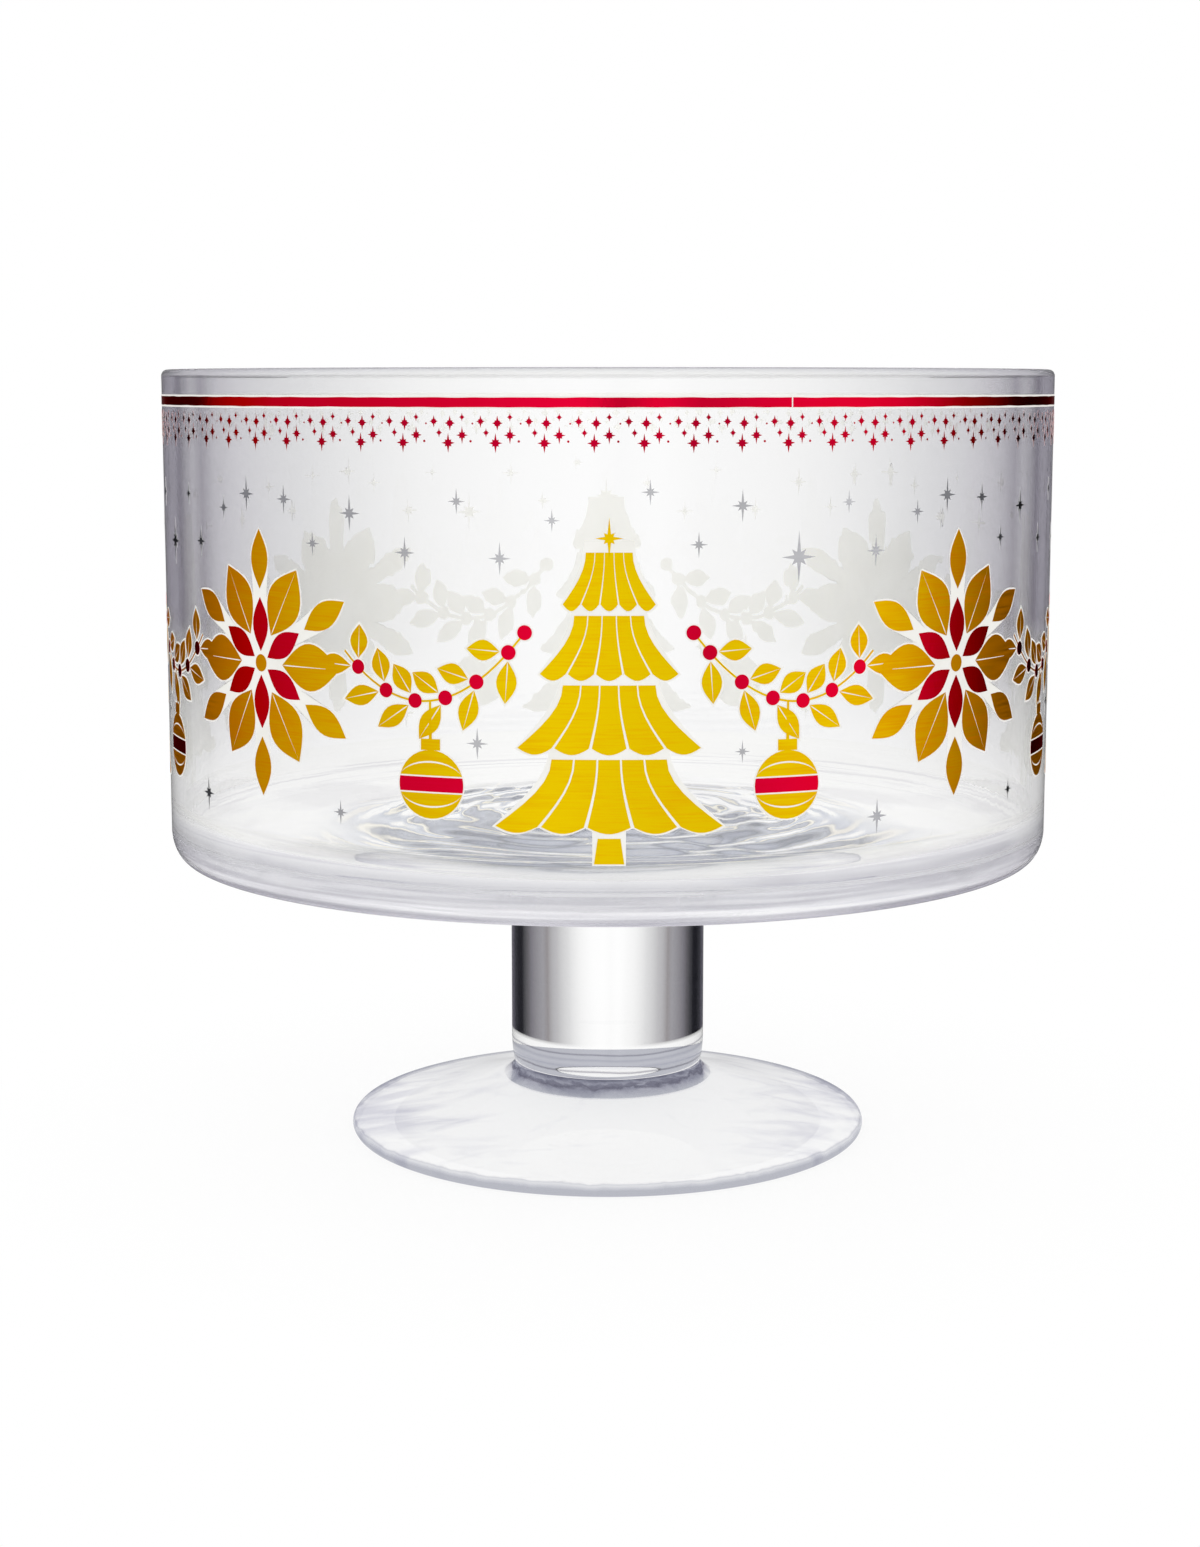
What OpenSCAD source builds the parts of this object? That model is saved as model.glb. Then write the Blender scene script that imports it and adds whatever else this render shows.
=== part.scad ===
// Footed glass trifle bowl: a straight-sided bowl on a solid glass stem and a low domed foot.
// The glass is three gathers joined hot. What decorates it is printed on the outside wall:
// a white layer first, and over it red, gold and silver foils.
// The bowl stands on z = 0 about the z axis, and the middle of the front is at -y.

/* [Bowl] */
// Outside diameter of the bowl
bowl_d = 220; // [212:1:250]
// Height of the bowl, from its lowest outer ring to the rim
bowl_h = 119.7; // [114:0.1:150]
// Thickness of the side wall
wall_t = 3; // [2:0.1:5]
// Thickness of the floor beside the wall
floor_t = 6.5; // [4:0.1:9]
// Radius inside the bowl where the wall meets the floor
inner_corner_r = 9; // [4:0.5:14]
// Width of the rounded outer corner under the wall
corner_w = 4; // [2:0.5:8]
// Height of the rounded outer corner
corner_h = 7; // [4:0.5:12]
// How far the underside drops from its outer ring to the stem
underside_drop = 7.5; // [3:0.5:10]
// Height of the raised middle of the floor, over the stem
floor_rise = 5; // [1:0.5:8]
// Diameter of the raised middle of the floor
rise_d = 140; // [90:1:170]

/* [Stem and foot] */
// Diameter of the solid stem
stem_d = 49.4; // [40:0.1:60]
// Length of the stem, from the joint with the foot to the bowl
stem_l = 48.6; // [35:0.1:70]
// How much the stem narrows at its joint with the foot, across the diameter
neck_in = 1.6; // [0.6:0.1:4]
// Height of the rounded lower end of the stem
neck_h = 7.4; // [4:0.1:12]
// Largest diameter of the foot
foot_d = 131.8; // [110:0.1:160]
// Height of the foot, up to its joint with the stem
foot_h = 17.6; // [14:0.1:24]
// Diameter of the collar where the foot spreads from the joint
collar_d = 53.4; // [52:0.1:64]
// Height of the foot's flare between the collar and the joint
flare_h = 3.9; // [2:0.1:6]
// Thickness of the foot at its outer edge
foot_edge_t = 4.1; // [3:0.1:6]
// Depth of the shallow hollow under the foot
foot_hollow = 1.2; // [0.5:0.1:2]
// Width of the flat ring that the foot stands on
foot_ring_w = 9; // [5:0.5:20]

/* [Rim stripe and star border] */
// Distance from the rim down to the stripe
stripe_down = 6.25; // [4:0.05:12]
// Width of the stripe
stripe_w = 2.15; // [1:0.05:4]
// Opening of the butt seam in the stripe
seam_gap = 0.3; // [0.1:0.05:1]
// Angle of the seam from the middle of the front
seam_angle = 20.6; // [0:0.1:360]
// Length round the wall of one repeat of the small red stars
border_pitch = 10.5; // [9:0.1:16]
// Depth of the border, from the stripe to the middle of its lowest star
border_depth = 7.4; // [7:0.1:11]
// Height from tip to tip of the largest border star
border_star_h = 4.2; // [3:0.1:4.6]

/* [Frieze] */
// Trees round the wall, with a flower between each pair
motif_count = 4; // [3:1:4]
// Height of the frieze's lower edge over the bowl's lowest outer ring
frieze_up = 14.5; // [12:0.1:20]
// Room between a tree's top and the star border
tree_clear = 11.2; // [9:0.1:20]
// Width of a tree across its lowest boughs
tree_w = 50; // [40:1:54]
// Diameter of a hanging bauble
bauble_d = 15; // [10:0.5:17]
// Length of a garland leaf
leaf_l = 11; // [7:0.5:12]
// Width of a garland leaf
leaf_w = 4.5; // [2.5:0.1:5]
// Diameter of a garland bead
bead_d = 3.2; // [2:0.1:4]
// Least width of a garland for each pair of its leaves
leaf_pitch = 7; // [6.5:0.1:12]
// Height from tip to tip of the largest silver star
silver_star_h = 11.2; // [8:0.1:13]

/* [Print layers] */
// Thickness of the white layer on the glass
white_t = 0.04; // [0.03:0.01:0.1]
// Thickness of a foil
foil_t = 0.06; // [0.03:0.01:0.15]
// White that shows round a foil's edge
white_margin = 0.35; // [0.2:0.05:0.6]

/* [Hidden] */
$fn = 96;

glass = [0.86, 0.89, 0.92, 0.45];
gold = [0.85, 0.66, 0.05];
red = [0.66, 0.02, 0.08];
silver = [0.78, 0.78, 0.8];
white = [0.96, 0.95, 0.92];

arc_steps = 8;
bowl_r = bowl_d / 2;
stem_top = foot_h + stem_l;
bowl_z = stem_top + underside_drop;
rim_z = bowl_z + bowl_h;
rim_r = wall_t / 2;
floor_z = bowl_z + floor_t;
stem_r = stem_d / 2;
neck_r = stem_r - neck_in / 2;
foot_r = foot_d / 2;
edge_r = foot_edge_t / 2;
print_r = bowl_r + white_t + foil_t;
stripe_z = rim_z - stripe_down - stripe_w;
border_r = bowl_r + white_t;

sector = 360 / motif_count;
half_arc = PI * bowl_d / motif_count / 2;
foot_bow_share = 0.28;
frieze_z = bowl_z + frieze_up;
frieze_room = stripe_z - border_depth - border_star_h - frieze_z;
tree_h = frieze_room - tree_clear;
// A flower is as large as the trees' height and the wall's length both let it be.
flower_tree_share = 0.3311;
flower_arc_share = 0.2837;
flower_r = min(tree_h * flower_tree_share, half_arc * flower_arc_share);
flower_height_share = 0.54;
flower_z = frieze_z + tree_h * flower_height_share;
cut_d = bowl_d + 4 * wall_t;

// Each bough: height of its lower edge, height of its top, half width, as shares of the tree.
bough_shares = [[0.11, 0.305, 1], [0.34, 0.52, 0.8], [0.555, 0.72, 0.6], [0.755, 0.9, 0.4]];
bough_top_share = 0.5;
scallop_share = 0.022;
scallops = 5;
trunk_width_share = 0.13;
trunk_top_share = 0.075;
trunk_taper_share = 0.75;
top_star_share = 0.06;

bract_width_share = 0.43;
bract_start_share = 0.3;
red_bract_start_share = 0.11;
red_bract_end_share = 0.6;
red_bract_width_share = 0.22;
sepal_start_share = 0.68;
sepal_end_share = 1.22;
sepal_width_share = 0.24;
flower_eye_share = 0.08;
petals = 6;

// A garland hangs from beside a tree to beside a flower: its ends and its sag.
garland_start_share = 0.72;
garland_start_height_share = 0.67;
garland_end_height_share = 0.6;
garland_sag_share = 0.17;
garland_end_gap = white_margin * 4;
lower_leaf_tilt = -38;
upper_leaf_tilt = 52;
upper_leaf_share = 0.84;
thread_share = 0.55;
thread_top_share = 0.8;
thread_l = bauble_d * thread_share;
thread_w_share = 0.05;
cap_w_share = 0.3;
cap_h_share = 0.16;
band_share = 0.26;

// Border marks: place along the repeat, depth below the stripe, size against the largest star.
border_shares = [[0, 0.27, 0.43], [0.39, 0.39, 0.62], [0.74, 0.44, 0.76],
                 [0, 0.78, 0.88], [0.505, 0.71, 0.47], [0.7, 1, 1]];
star_waist_share = 0.12;
star_side_share = 0.66;

// Silver stars: place in a sector, height between frieze and stripe, size against the largest.
silver_shares = [[0.05, 0.93, 0.5], [0.11, 0.8, 0.5], [0.165, 0.895, 0.62], [0.24, 0.765, 1],
                 [0.31, 0.9, 0.45], [0.352, 0.775, 0.62], [0.42, 0.87, 0.5], [0.475, 0.91, 0.72],
                 [0.55, 0.9, 0.6], [0.6, 0.79, 0.5], [0.66, 0.87, 0.7], [0.74, 0.775, 0.62],
                 [0.81, 0.905, 0.5], [0.865, 0.765, 0.62], [0.93, 0.86, 0.45],
                 [0.167, 0.28, 0.45], [0.36, 0.09, 0.72], [0.64, 0.1, 0.5], [0.835, 0.3, 0.62]];
ray_waist_share = 0.07;
ray_side_share = 0.66;
ray_diagonal_share = 0.3;

// Points of an ellipse's arc about (x, z), from angle a to angle b.
function arc(x, z, rx, rz, a, b, n = arc_steps) =
    [for (i = [0:n]) let (t = a + (b - a) * i / n) [x + rx * cos(t), z + rz * sin(t)]];

// A pointed leaf of length l and width w that starts at x = start, grown on all sides by g.
function leaf_points(start, l, w, g = 0, n = 6) =
    let (a = start - 2 * g, b = l + 4 * g, h = w / 2 + g)
    concat([for (i = [0:n]) [a + b * i / n, -h * sin(180 * i / n)]],
           [for (i = [n - 1:-1:1]) [a + b * i / n, h * sin(180 * i / n)]]);

// A star whose rays have the given lengths in turn, with waists between them.
function star_points(rays, waist) =
    [for (i = [0:2 * len(rays) - 1])
        let (r = i % 2 == 0 ? rays[i / 2] : waist, t = 90 + 180 * i / len(rays))
        [r * cos(t), r * sin(t)]];

function four_rays(h) = [h / 2, h / 2 * star_side_share, h / 2, h / 2 * star_side_share];

function eight_rays(h) = [for (i = [0:7])
    h / 2 * (i % 2 == 1 ? ray_diagonal_share : i % 4 == 0 ? 1 : ray_side_share)];

// The garland's curve: t runs from 0 at the tree to 1 at the flower.
garland_a = [tree_w / 2 * garland_start_share, tree_h * garland_start_height_share];
garland_b = [half_arc - flower_r - garland_end_gap, tree_h * garland_end_height_share];
function garland(t) = garland_a + (garland_b - garland_a) * t
    - [0, 4 * garland_sag_share * tree_h * t * (1 - t)];
function garland_slope(t) = let (d = garland(t + 0.01) - garland(t - 0.01)) atan2(d[1], d[0]);
garland_leaves = max(1, floor((garland_b[0] - garland_a[0]) / leaf_pitch));

// Degrees round the bowl for a length along its wall.
function round_to(l) = l / bowl_r * 180 / PI;

// The ring of space that one print layer fills.
module layer(r, t) {
    difference() {
        cylinder(r = r + t, h = rim_z);
        cylinder(r = r, h = rim_z);
    }
}

// Puts a flat outline through the wall's surface, at an angle round it and a height.
module on_wall(angle, z, tilt = 0, r = bowl_r) {
    rotate([0, 0, angle]) translate([0, wall_t - r, z]) rotate([90, 0, 0])
        rotate([0, 0, tilt]) linear_extrude(2 * wall_t) children();
}

module printed(r, t) {
    intersection() {
        layer(r, t);
        union() children();
    }
}

module bowl() {
    inside_r = bowl_r - wall_t;
    color(glass) rotate_extrude() polygon(concat(
        [[0, stem_top], [stem_r, stem_top]],
        [for (i = [1:arc_steps]) let (t = i / arc_steps)
            [stem_r + (bowl_r - corner_w - stem_r) * t, stem_top + underside_drop * sin(90 * t)]],
        arc(bowl_r - corner_w, bowl_z + corner_h, corner_w, corner_h, -90, 0),
        arc(bowl_r - rim_r, rim_z - rim_r, rim_r, rim_r, 0, 180),
        arc(inside_r - inner_corner_r, floor_z + inner_corner_r, inner_corner_r, inner_corner_r,
            0, -90),
        [for (i = [arc_steps:-1:0]) let (t = i / arc_steps)
            [rise_d / 2 * t, floor_z + floor_rise / 2 * (1 + cos(180 * t))]]));
}

module stem() {
    color(glass) rotate_extrude() polygon(concat(
        [[0, foot_h]],
        arc(neck_r, foot_h + neck_h, stem_r - neck_r, neck_h, -90, 0),
        [[stem_r, stem_top], [0, stem_top]]));
}

module foot() {
    collar_r = collar_d / 2;
    ring_r = foot_r - edge_r;
    hollow_r = ring_r - foot_ring_w;
    color(glass) rotate_extrude() polygon(concat(
        [for (i = [0:arc_steps]) let (t = i / arc_steps)
            [hollow_r * t, foot_hollow * (1 - t * t)]],
        arc(ring_r, edge_r, edge_r, edge_r, -90, 90),
        [for (i = [1:arc_steps]) let (t = i / arc_steps)
            [ring_r + (collar_r - ring_r) * t,
             foot_edge_t + (foot_h - flare_h - foot_edge_t) * (t - foot_bow_share * t * (1 - t))]],
        [for (i = [1:arc_steps]) let (t = i / arc_steps)
            [collar_r + (neck_r - collar_r) * sin(90 * t), foot_h - flare_h * (1 - t)]],
        [[0, foot_h]]));
}

module rim_stripe() {
    seam = seam_gap / 2;
    color(red) translate([0, 0, stripe_z]) difference() {
        cylinder(r = print_r, h = stripe_w);
        translate([0, 0, -wall_t]) cylinder(r = border_r, h = stripe_w + 2 * wall_t);
        rotate([0, 0, seam_angle]) translate([-seam, -cut_d / 2, -wall_t])
            cube([seam_gap, cut_d / 2, stripe_w + 2 * wall_t]);
    }
}

module star_border() {
    count = round(PI * bowl_d / border_pitch);
    color(red) for (k = [0:count - 1], m = border_shares)
        rotate([0, 0, 360 * (k + m[0]) / count])
            translate([0, -border_r, stripe_z - border_depth * m[1]]) rotate([90, 0, 0])
                linear_extrude(foil_t)
                    polygon(star_points(four_rays(border_star_h * m[2]),
                                        border_star_h * m[2] * star_waist_share));
}

module silver_stars() {
    color(silver) printed(border_r, foil_t)
        for (k = [0:motif_count - 1], m = silver_shares)
            on_wall(sector * (k + m[0]), frieze_z + frieze_room * m[1])
                polygon(star_points(eight_rays(silver_star_h * m[2]),
                                    silver_star_h * m[2] * ray_waist_share));
}

// One bough: its lower edge hangs in scallops, and its sides curve in to its flat top.
module bough(m) {
    half = tree_w / 2 * m[2];
    h = tree_h * (m[1] - m[0]);
    drop = tree_h * scallop_share;
    n = 4 * scallops;
    polygon(concat(
        [for (i = [0:n]) let (t = i / n)
            [half * (2 * t - 1), tree_h * m[0] - drop * abs(sin(180 * scallops * t))]],
        [for (i = [1:arc_steps]) let (t = i / arc_steps)
            [half * (1 - (1 - bough_top_share) * sin(90 * t)), tree_h * m[0] + h * t]],
        [for (i = [arc_steps:-1:1]) let (t = i / arc_steps)
            [-half * (1 - (1 - bough_top_share) * sin(90 * t)), tree_h * m[0] + h * t]]));
}

module trunk() {
    half = tree_w / 2 * trunk_width_share;
    polygon([[-half, 0], [half, 0], [half * trunk_taper_share, tree_h * trunk_top_share],
             [-half * trunk_taper_share, tree_h * trunk_top_share]]);
}

module gold_trees() {
    star_h = 2 * tree_h * top_star_share;
    color(gold) printed(border_r, foil_t) for (k = [0:motif_count - 1]) {
        for (m = bough_shares) on_wall(sector * k, frieze_z) bough(m);
        on_wall(sector * k, frieze_z) trunk();
        on_wall(sector * k, frieze_z + tree_h - star_h / 2)
            polygon(star_points(four_rays(star_h), star_h * star_waist_share));
    }
}

module gold_flowers() {
    color(gold) printed(border_r, foil_t) for (k = [0:motif_count - 1]) {
        for (p = [0:petals - 1]) {
            on_wall(sector * (k + 0.5), flower_z, 360 / petals * p)
                polygon(leaf_points(flower_r * bract_start_share,
                                    flower_r * (1 - bract_start_share),
                                    flower_r * bract_width_share));
            on_wall(sector * (k + 0.5), flower_z, 360 / petals * (p + 0.5))
                polygon(leaf_points(flower_r * sepal_start_share,
                                    flower_r * (sepal_end_share - sepal_start_share),
                                    flower_r * sepal_width_share));
        }
        on_wall(sector * (k + 0.5), flower_z) circle(r = flower_r * flower_eye_share);
    }
}

module red_flowers() {
    color(red) printed(border_r, foil_t) for (k = [0:motif_count - 1], p = [0:petals - 1])
        on_wall(sector * (k + 0.5), flower_z, 360 / petals * (p + 0.5))
            polygon(leaf_points(flower_r * red_bract_start_share,
                                flower_r * (red_bract_end_share - red_bract_start_share),
                                flower_r * red_bract_width_share));
}

// Both garlands of every sector, as (angle, mirror) pairs for the work below.
garland_places = [for (k = [0:motif_count - 1], side = [0, 1]) [k, side]];
function wall_angle(place, x) = sector * (place[0] + place[1]) + (1 - 2 * place[1]) * round_to(x);
function wall_tilt(place, a) = place[1] == 0 ? a : 180 - a;

bauble_place = garland(0.5) - [0, thread_l + bauble_d / 2 + bauble_d * cap_h_share];

module gold_baubles() {
    cap_w = bauble_d * cap_w_share;
    cap_h = bauble_d * cap_h_share;
    thread_w = bauble_d * thread_w_share;
    band = bauble_d * band_share;
    overlap = bauble_d * thread_w_share;
    color(gold) printed(border_r, foil_t) for (place = garland_places)
        on_wall(wall_angle(place, bauble_place[0]), frieze_z + bauble_place[1]) {
            difference() {
                circle(d = bauble_d);
                translate([-bauble_d, -band / 2]) square([2 * bauble_d, band]);
            }
            translate([-cap_w / 2, bauble_d / 2 - overlap]) square([cap_w, cap_h + overlap]);
            translate([-thread_w / 2, bauble_d / 2 + cap_h]) square([thread_w, thread_l * thread_top_share]);
        }
}

module red_bauble_bands() {
    band = bauble_d * band_share - 2 * white_margin;
    color(red) printed(border_r, foil_t) for (place = garland_places)
        on_wall(wall_angle(place, bauble_place[0]), frieze_z + bauble_place[1])
            intersection() {
                circle(d = bauble_d);
                translate([-bauble_d, -band / 2]) square([2 * bauble_d, band]);
            }
}

// A garland's leaves stand in pairs along its curve, each pair just past a bead. The upper
// leaves are shorter and steeper, because they lean together in the curve's hollow.
module garland_leaf_set(place, g) {
    start = bead_d / 2 + white_margin;
    for (i = [0:garland_leaves - 1], upper = [false, true]) {
        t = (i + 0.5) / garland_leaves;
        p = garland(t);
        l = leaf_l * (upper ? upper_leaf_share : 1);
        on_wall(wall_angle(place, p[0]), frieze_z + p[1],
                wall_tilt(place, garland_slope(t) + (upper ? upper_leaf_tilt : lower_leaf_tilt)))
            polygon(leaf_points(start, l - start, leaf_w, g));
    }
}

module gold_garlands() {
    color(gold) printed(border_r, foil_t) for (place = garland_places)
        garland_leaf_set(place, 0);
}

// One bead hangs at the garland's start, and one where each pair of leaves begins.
module red_beads() {
    color(red) printed(border_r, foil_t) for (place = garland_places)
        for (i = [0:garland_leaves]) {
            p = garland(max(0, i - 0.5) / garland_leaves);
            on_wall(wall_angle(place, p[0]), frieze_z + p[1]) circle(d = bead_d);
        }
}

// The white under a tree follows its stepped outline.
module tree_white() {
    g = white_margin;
    drop = tree_h * scallop_share + g;
    trunk_half = tree_w / 2 * trunk_width_share + g;
    right = concat(
        [[trunk_half, -g], [trunk_half, tree_h * trunk_top_share]],
        [for (m = bough_shares, end = [0, 1]) let (half = tree_w / 2 * m[2])
            end == 0 ? [half + g, tree_h * m[0] - drop]
                     : [half * bough_top_share + g, tree_h * m[1] + g]]);
    polygon(concat(right, [for (i = [len(right) - 1:-1:0]) [-right[i][0], right[i][1]]]));
}

// The white under a flower reaches as far as the outermost petal does in each direction.
function petal_reach(a, start, end, w) =
    max([for (i = [1:20]) let (t = i / 20, x = start + (end - start) * t,
                               y = w / 2 * sin(180 * t))
        atan2(y, x) >= a ? norm([x, y]) : 0]);
module flower_white() {
    g = white_margin;
    n = 12 * petals;
    step = 180 / petals;
    polygon([for (i = [0:n - 1])
        let (t = 360 * i / n, off = abs((t + step) % (2 * step) - step), back = step - off,
             a = petal_reach(off, flower_r * bract_start_share, flower_r,
                             flower_r * bract_width_share),
             b = petal_reach(back, flower_r * sepal_start_share, flower_r * sepal_end_share,
                             flower_r * sepal_width_share),
             r = max(a, b, flower_r * red_bract_end_share) + g)
        [r * cos(t), r * sin(t)]]);
}

module white_print() {
    star_h = 2 * tree_h * top_star_share + 4 * white_margin;
    color(white) printed(bowl_r, white_t) {
        for (k = [0:motif_count - 1]) {
            on_wall(sector * k, frieze_z) tree_white();
            on_wall(sector * (k + 0.5), flower_z) flower_white();
        }
        for (place = garland_places) {
            on_wall(wall_angle(place, bauble_place[0]), frieze_z + bauble_place[1])
                circle(r = bauble_d / 2 + white_margin);
            garland_leaf_set(place, white_margin);
        }
    }
}

bowl();
stem();
foot();
white_print();
rim_stripe();
star_border();
silver_stars();
gold_trees();
gold_flowers();
red_flowers();
gold_baubles();
red_bauble_bands();
gold_garlands();
red_beads();
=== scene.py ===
import bpy
import numpy as np
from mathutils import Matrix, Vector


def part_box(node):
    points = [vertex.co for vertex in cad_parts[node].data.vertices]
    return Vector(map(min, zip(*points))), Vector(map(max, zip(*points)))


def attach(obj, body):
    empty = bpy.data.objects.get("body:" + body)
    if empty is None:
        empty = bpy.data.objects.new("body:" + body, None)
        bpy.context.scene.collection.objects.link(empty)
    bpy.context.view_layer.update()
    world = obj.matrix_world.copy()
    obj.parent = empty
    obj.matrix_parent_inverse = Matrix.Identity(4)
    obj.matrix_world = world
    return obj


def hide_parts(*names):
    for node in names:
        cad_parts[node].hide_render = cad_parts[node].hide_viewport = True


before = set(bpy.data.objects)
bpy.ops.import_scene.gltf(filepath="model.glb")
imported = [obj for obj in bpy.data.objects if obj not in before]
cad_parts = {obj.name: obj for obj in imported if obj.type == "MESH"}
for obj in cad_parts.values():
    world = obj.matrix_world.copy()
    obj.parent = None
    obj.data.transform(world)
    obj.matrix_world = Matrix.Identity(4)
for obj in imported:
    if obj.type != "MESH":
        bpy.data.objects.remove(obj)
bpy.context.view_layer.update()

# The foot is the last gather of clear glass, spun out hot into a low dome with a round edge and
# a flat ring to stand on. It is fused to the stem at the neck, so light meets no face there.
mm = 0.001
tau = 2 * np.pi
foot_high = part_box("foot")[1]
foot_r, foot_top = foot_high[0], foot_high[2]
foot_edge = 2.05 * mm
foot_ring = 9 * mm
foot_hollow = 1.2 * mm
foot_neck_r = 23.9 * mm
foot_collar_r = 26.7 * mm
foot_flare = 3.9 * mm
foot_bow = 0.28
ring_r = foot_r - foot_edge
hollow_r = ring_r - foot_ring
round_steps = 24


def arc(x, z, rx, rz, start, end, steps=round_steps):
    """Points (x + rx cos t, z + rz sin t) as t runs from start to end, in degrees."""
    t = np.radians(np.linspace(start, end, steps))
    return np.stack([x + rx * np.cos(t), z + rz * np.sin(t)], axis=1)


t = np.linspace(0, 1, 40)
foot_profile = np.concatenate([
    np.stack([hollow_r * t, foot_hollow * (1 - t**2)], axis=1),
    arc(ring_r, foot_edge, foot_edge, foot_edge, -90, 90),
    np.stack([ring_r + (foot_collar_r - ring_r) * t,
              2 * foot_edge + (foot_top - foot_flare - 2 * foot_edge)
              * (t - foot_bow * t * (1 - t))], axis=1)[1:],
    np.stack([foot_collar_r + (foot_neck_r - foot_collar_r) * np.sin(t * np.pi / 2),
              foot_top - foot_flare * (1 - t)], axis=1)[1:],
    [[0.5 * foot_neck_r, foot_top], [0, foot_top]]])


def new_piece(name, points, faces, finishes, materials, sharp):
    """An object made of points and faces, with each face's material slot in finishes. It is
    shaded smooth, but for the edges that turn by more than sharp degrees."""
    mesh = bpy.data.meshes.new(name)
    mesh.from_pydata(points.tolist(), [], faces)
    mesh.polygons.foreach_set("material_index", np.asarray(finishes, np.int32))
    mesh.shade_smooth()
    mesh.set_sharp_from_angle(angle=np.radians(sharp))
    for material in materials:
        mesh.materials.append(material)
    piece = bpy.data.objects.new(name, mesh)
    bpy.context.collection.objects.link(piece)
    return piece


def turned_body(name, profile, finishes, materials, steps=360, ripple=None):
    """A closed body of revolution. Profile point (r, z) becomes the ring (r sin a, -r cos a, z)
    as a goes once round, and the two ends of the profile, on the axis, become poles. Where
    ripple is given, amount * ripple(x, y) is added to z, with the amount in the profile's third
    column. The face after each profile point gets its number in finishes as material slot."""
    r, z = profile[:, 0], profile[:, 1]
    a = np.arange(steps) * tau / steps
    x, y = np.outer(r[1:-1], np.sin(a)), np.outer(-r[1:-1], np.cos(a))
    h = np.repeat(z[1:-1, None], steps, axis=1)
    ends = np.stack([np.zeros(2), np.zeros(2), z[[0, -1]]], axis=1)
    if ripple is not None:
        h += profile[1:-1, 2:3] * ripple(x, y)
        ends[:, 2] += profile[[0, -1], 2] * ripple(ends[:, 0], ends[:, 1])
    points = np.concatenate([np.stack([x, y, h], axis=-1).reshape(-1, 3), ends])
    rows = len(r) - 2
    here = np.arange(rows * steps).reshape(rows, steps)
    beside = np.roll(here, -1, axis=1)
    quads = np.stack([here[:-1], beside[:-1], beside[1:], here[1:]], axis=-1).reshape(-1, 4)
    first_pole, last_pole = rows * steps, rows * steps + 1
    fans = [np.stack([np.full(steps, first_pole), beside[0], here[0]], axis=-1),
            np.stack([here[-1], beside[-1], np.full(steps, last_pole)], axis=-1)]
    faces = quads.tolist() + fans[0].tolist() + fans[1].tolist()
    slots = np.repeat(np.concatenate([finishes[1:-1], finishes[[0, -1]]]), steps)
    return new_piece(name, points, faces, slots, materials, 50)


def fill(tree, node, values):
    """Gives the inputs of a node, by their names or numbers, a link or a value each."""
    for key, value in values.items():
        if isinstance(value, bpy.types.NodeSocket):
            tree.links.new(value, node.inputs[key])
        else:
            node.inputs[key].default_value = value


def new_node(tree, kind, values=None, **settings):
    """A shader node with its settings made and its inputs filled."""
    node = tree.nodes.new(kind)
    for setting, value in settings.items():
        setattr(node, setting, value)
    fill(tree, node, values or {})
    return node


def joined_by(tree, operation, a, b):
    """A Math node on two sockets or numbers."""
    return new_node(tree, "ShaderNodeMath", {0: a, 1: b}, operation=operation).outputs[0]


def plus(tree, a, b):
    """The sum of two sockets or numbers."""
    return joined_by(tree, "ADD", a, b)


def times(tree, a, b):
    """The product of two sockets or numbers."""
    return joined_by(tree, "MULTIPLY", a, b)


def coordinate(tree, kind, axis):
    """One axis of the Object, Normal or Generated coordinates."""
    place = new_node(tree, "ShaderNodeTexCoord")
    split = new_node(tree, "ShaderNodeSeparateXYZ", {0: place.outputs[kind]})
    return split.outputs[axis]


def stretched_noise(tree, stretch, scale, detail, twist=0.0):
    """Noise over Object coordinates that are stretched by a factor on each axis."""
    place = new_node(tree, "ShaderNodeTexCoord")
    mapping = new_node(tree, "ShaderNodeMapping",
                       {"Vector": place.outputs["Object"], "Scale": stretch})
    noise = new_node(tree, "ShaderNodeTexNoise", {
        "Vector": mapping.outputs["Vector"], "Scale": scale, "Detail": detail,
        "Distortion": twist})
    return noise.outputs["Fac"]


def wandering(tree, value, amount, *noise):
    """A value plus an amount times stretched noise that counts from -1/2 to 1/2."""
    swing = joined_by(tree, "SUBTRACT", stretched_noise(tree, *noise), 0.5)
    return plus(tree, value, times(tree, swing, amount))


def share_between(tree, value, low, high, least=0.0):
    """How far a value is on its way from low to high, as a share from least to 1."""
    share = new_node(tree, "ShaderNodeMapRange", {
        "Value": value, "From Min": low, "From Max": high, "To Min": least})
    return share.outputs["Result"]


def height_share(tree, low, high, least=0.0):
    """How far up a point is from one height to another, as a share from least to 1."""
    return share_between(tree, coordinate(tree, "Object", "Z"), low, high, least)


def colour_ramp(tree, factor, stops):
    """The colour at a factor between stops, which are pairs of a place and a colour."""
    ramp = new_node(tree, "ShaderNodeValToRGB", {"Fac": factor})
    elements = ramp.color_ramp.elements
    elements.remove(elements[1])
    elements[0].position = stops[0][0]
    elements[0].color = (*stops[0][1], 1)
    for place, colour in stops[1:]:
        elements.new(place).color = (*colour, 1)
    return ramp.outputs["Color"]


def colour_mix(tree, factor, a, b, blend="MIX"):
    """Colour b blended over colour a by a factor."""
    return new_node(tree, "ShaderNodeMix", {"Factor": factor, "A": a, "B": b},
                    data_type="RGBA", blend_type=blend).outputs["Result"]


def seen_first(tree):
    """1 for what the camera meets first, and 0 for what is mirrored or lies behind glass."""
    return new_node(tree, "ShaderNodeLightPath").outputs["Is Camera Ray"]


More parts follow.
